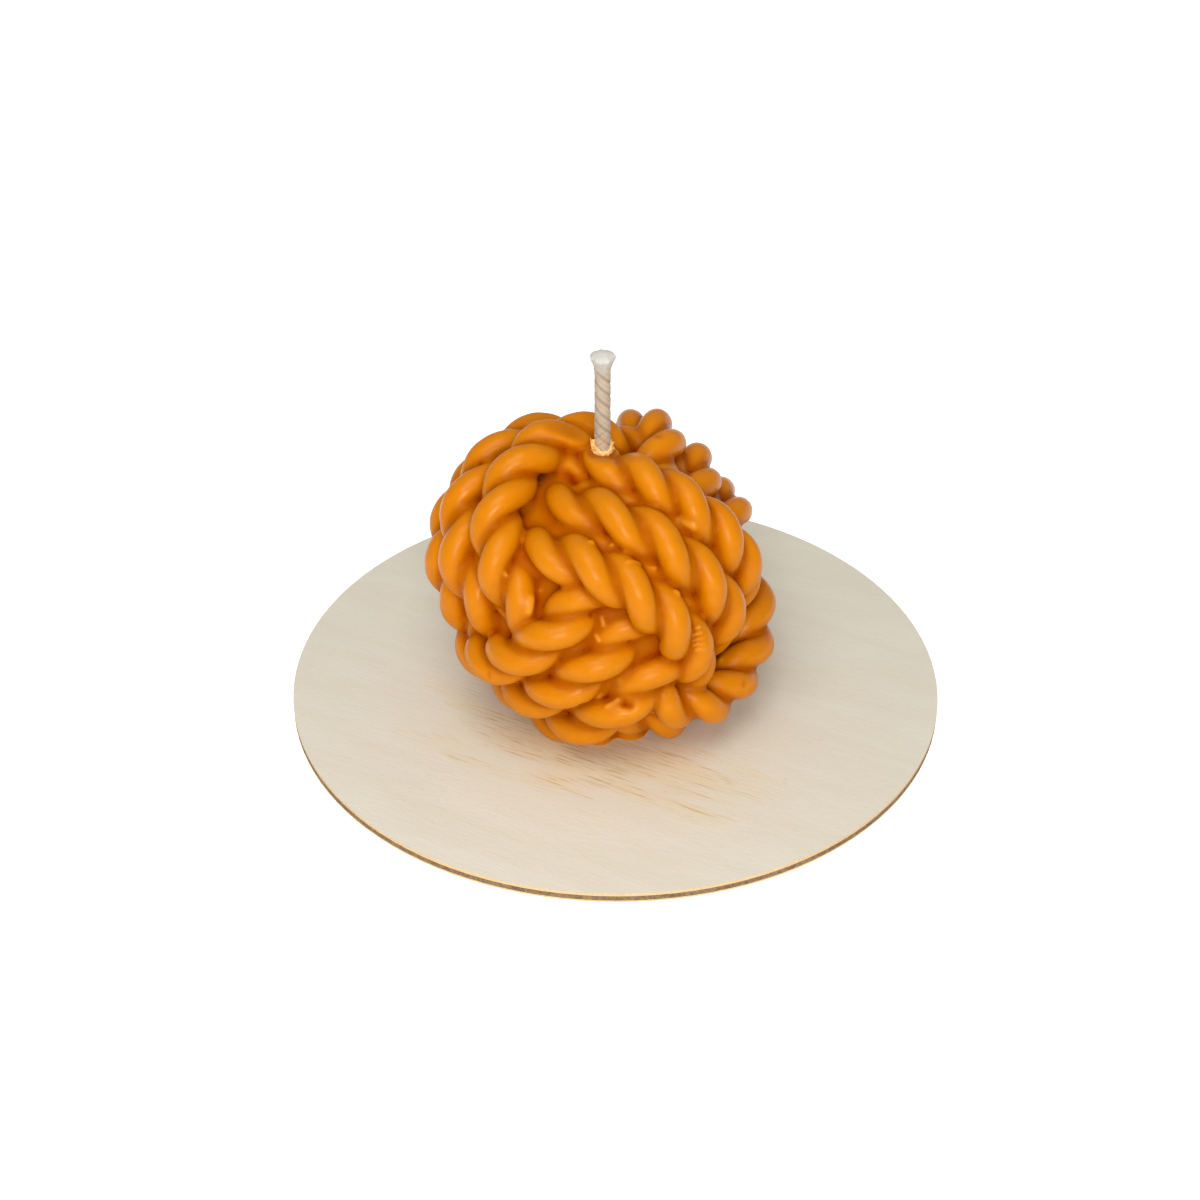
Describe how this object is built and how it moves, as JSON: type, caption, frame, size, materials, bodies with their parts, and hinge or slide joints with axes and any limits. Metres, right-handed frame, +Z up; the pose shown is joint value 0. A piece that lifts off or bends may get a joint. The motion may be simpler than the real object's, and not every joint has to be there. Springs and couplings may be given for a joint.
{
  "type": "knot candle",
  "caption": "Ball candle cast as a rope knot, with an upright cotton wick in a pale wax collar, standing loose on a thin round plywood board.",
  "frame": {"origin": "middle of the board's underside, where it rests", "axes": "+Z up along the wick, -Y towards the front of the board, where the candle stands"},
  "size_m": [0.13, 0.13, 0.078],
  "materials": {
    "veneer": "fine sanded, unvarnished",
    "glue": "dark glue line soaked into wood fibre",
    "core": "dark middle ply, cut edge",
    "wax": "satin wax",
    "cotton": "braided cotton",
    "pale_wax": "crumbly pale wax"
  },
  "bodies": {
    "board": {"back_veneer": "veneer", "glue_film_lower": "glue", "core_ply": "core", "glue_film_upper": "glue", "face_veneer": "veneer"},
    "candle": {"wax_body": "wax", "wick": "cotton", "wick_collar": "pale_wax"}
  },
  "joints": [
    {"name": "candle_lift", "type": "slide", "parent": "board", "child": "candle", "axis": [0, 0, 1], "range_m": [0, 0.08]}
  ]
}
